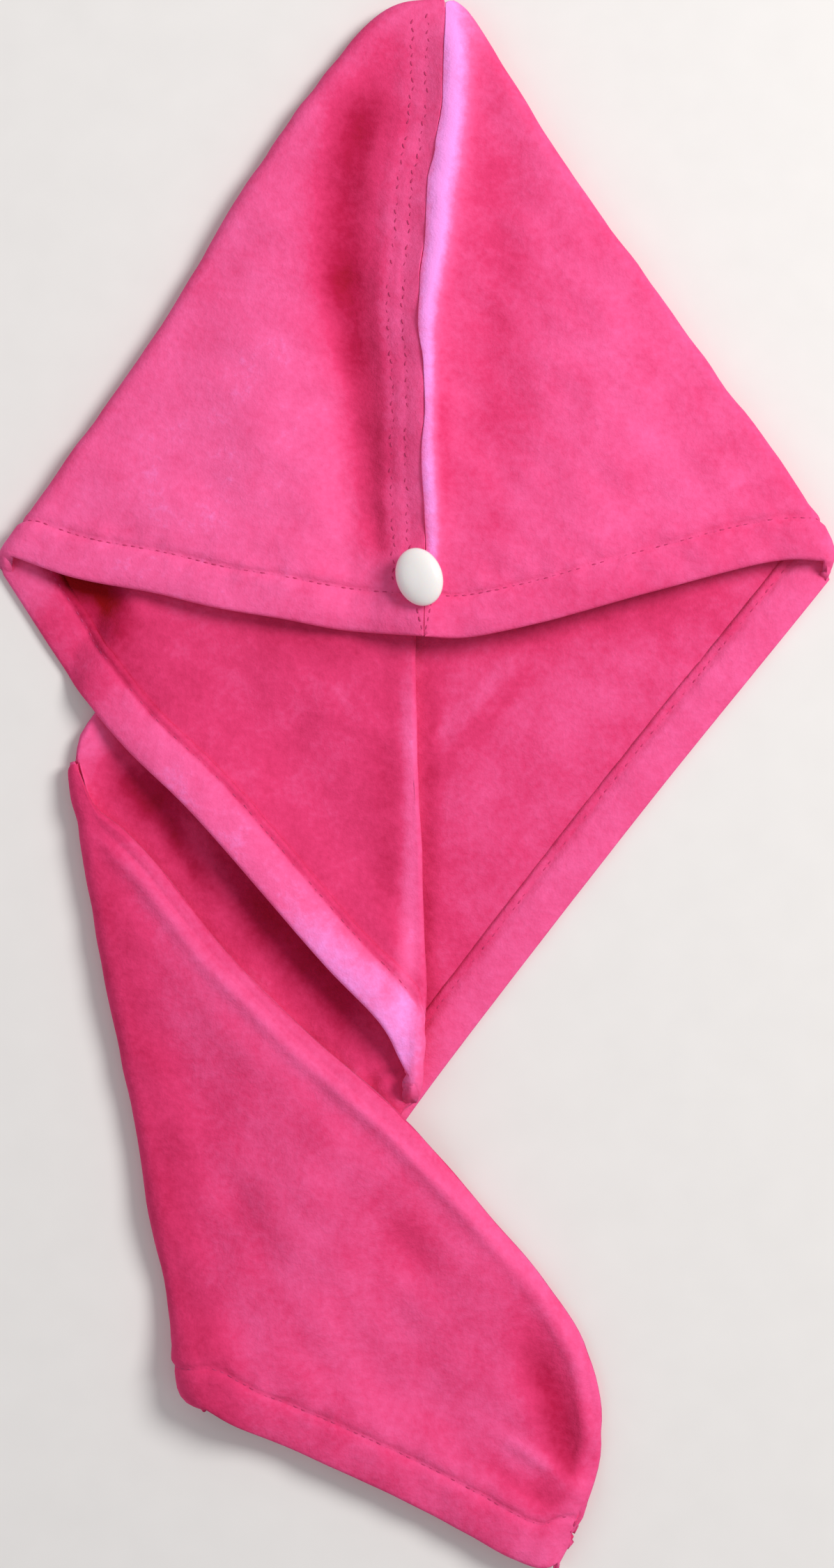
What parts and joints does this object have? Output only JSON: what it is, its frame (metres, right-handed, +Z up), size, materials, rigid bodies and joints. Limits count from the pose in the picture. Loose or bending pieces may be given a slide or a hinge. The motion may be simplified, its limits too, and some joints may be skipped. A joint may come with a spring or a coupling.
{
  "type": "hair drying cap",
  "caption": "Soft fleece hair drying cap laid flat: an open hood with a button at the nape hem and a long tail folded over to the front.",
  "frame": {"origin": "centre of the laid cap's outline, on the table", "axes": "+Y towards the hood's point, +X to the right as it is seen from above, +Z up from the table"},
  "size_m": [0.3154, 0.5862, 0.0273],
  "materials": {
    "fleece": "soft brushed microfibre fleece, matt with a pale sheen",
    "button": "polished white plastic",
    "elastic": "covered elastic cord"
  },
  "bodies": {
    "root": {"right_front": "fleece", "right_back": "fleece", "right_tail": "fleece", "left_front": "fleece", "left_lining": "fleece", "left_back": "fleece", "left_tail": "fleece", "button": "button", "elastic_loop": "elastic"}
  },
  "joints": []
}
